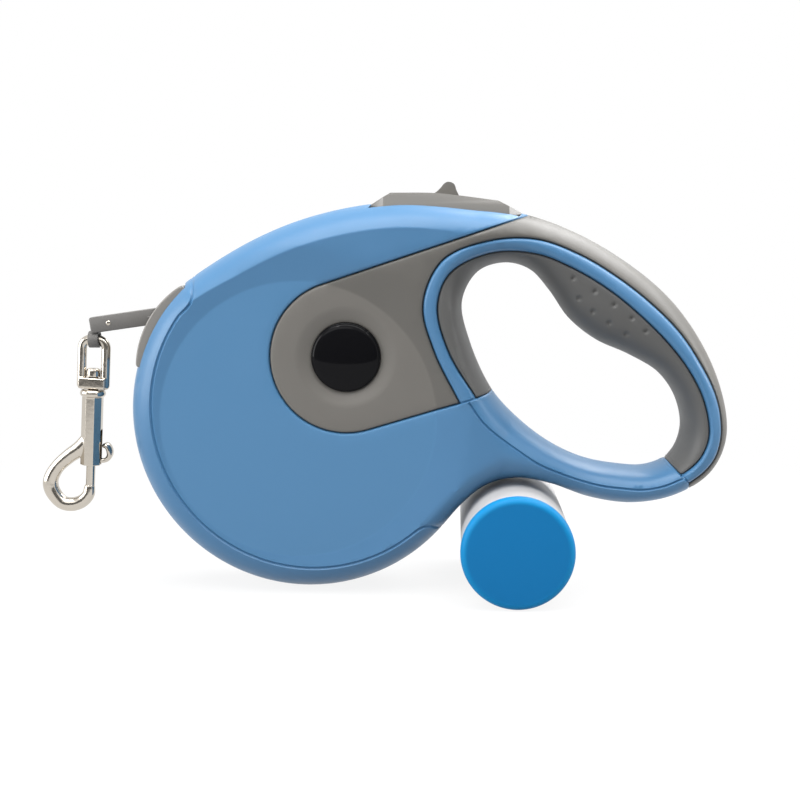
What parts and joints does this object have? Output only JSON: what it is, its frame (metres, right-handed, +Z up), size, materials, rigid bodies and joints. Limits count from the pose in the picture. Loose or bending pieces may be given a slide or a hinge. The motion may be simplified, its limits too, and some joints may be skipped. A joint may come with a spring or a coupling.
{
  "type": "retractable leash",
  "caption": "Hand-held retractable tape leash: round moulded reel housing with a loop handle, thumb brake and bolt snap, propped on its waste-bag dispenser.",
  "frame": {"origin": "on the floor under the middle of the whole set, as it stands in the picture", "axes": "+X from the snap to the handle, +Y through the thickness to the back (the pictured side faces -Y), +Z up"},
  "size_m": [0.2222, 0.068, 0.1308],
  "materials": {
    "shell_blue": "satin moulded",
    "grip_grey": "matt soft grip",
    "trim_grey": "satin moulded",
    "badge_black": "gloss domed",
    "nickel": "nickel plated",
    "steel": "plain",
    "tape_grey": "woven",
    "inner_plastic": "natural moulded",
    "dispenser_grey": "matt",
    "cap_blue": "satin moulded"
  },
  "bodies": {
    "casing": {"casing_front": "shell_blue", "casing_back": "shell_blue", "side_cover_front": "grip_grey", "side_cover_back": "grip_grey", "inner_grip_front": "grip_grey", "inner_grip_back": "grip_grey", "badge_front": "badge_black", "badge_back": "badge_black", "outlet_nozzle": "trim_grey", "axle": "steel", "brake_spring": "steel", "case_screw_nozzle": "steel", "case_screw_belly": "steel", "case_screw_keel": "steel", "case_screw_waist": "steel", "case_screw_bow": "steel", "dispenser_barrel": "dispenser_grey"},
    "reel": {"reel_drum": "inner_plastic", "reel_flange": "inner_plastic", "spring_cover": "inner_plastic", "mainspring": "steel", "axle_bush_front": "steel", "axle_bush_back": "steel", "leash_roll": "tape_grey"},
    "tape": {"leash_tape": "tape_grey", "end_sleeve": "tape_grey", "sleeve_rivet": "nickel"},
    "eye": {"swivel_eye": "nickel"},
    "hook": {"hook_body": "nickel", "bolt_spring": "steel"},
    "bolt": {"hook_bolt": "nickel"},
    "brake": {"brake_button": "trim_grey", "brake_plunger": "inner_plastic"},
    "lock": {"lock_tab": "trim_grey"},
    "cap": {"dispenser_cap": "cap_blue"}
  },
  "joints": [
    {"name": "reel_spin", "type": "hinge", "parent": "casing", "child": "reel", "pos_m": [-0.0223, 0, 0.057], "axis": [0, -1, 0], "range_deg": [0, 60], "stiffness_Nm_per_rad": 0.03, "springref_deg": -171.89},
    {"name": "leash_pull", "type": "slide", "parent": "casing", "child": "tape", "axis": [-0.9895, 0, -0.1444], "range_m": [0, 0.0392]},
    {"name": "eye_swing", "type": "hinge", "parent": "tape", "child": "eye", "pos_m": [-0.0925, 0, 0.07978], "axis": [0.9983, 0, -0.0576], "range_deg": [-75, 75]},
    {"name": "hook_swivel", "type": "hinge", "parent": "eye", "child": "hook", "pos_m": [-0.0925, 0, 0.07978], "axis": [0.0576, 0, 0.9983], "continuous": true},
    {"name": "bolt_slide", "type": "slide", "parent": "hook", "child": "bolt", "axis": [0.0576, 0, 0.9983], "range_m": [0, 0.0075], "stiffness_N_per_m": 300, "springref_m": -0.005, "deforming": ["bolt_spring"]},
    {"name": "brake_press", "type": "slide", "parent": "casing", "child": "brake", "axis": [0, 0, -1], "range_m": [0, 0.0028], "stiffness_N_per_m": 500, "springref_m": -0.004, "deforming": ["brake_spring"]},
    {"name": "lock_slide", "type": "slide", "parent": "brake", "child": "lock", "axis": [-0.995, 0, 0.1], "range_m": [0, 0.004]},
    {"name": "cap_pull", "type": "slide", "parent": "casing", "child": "cap", "axis": [0, -1, 0], "range_m": [0, 0.012]}
  ],
  "couplings": [
    {"joint": "leash_pull", "follows": "reel_spin", "m_per_rad": 0.037325}
  ]
}
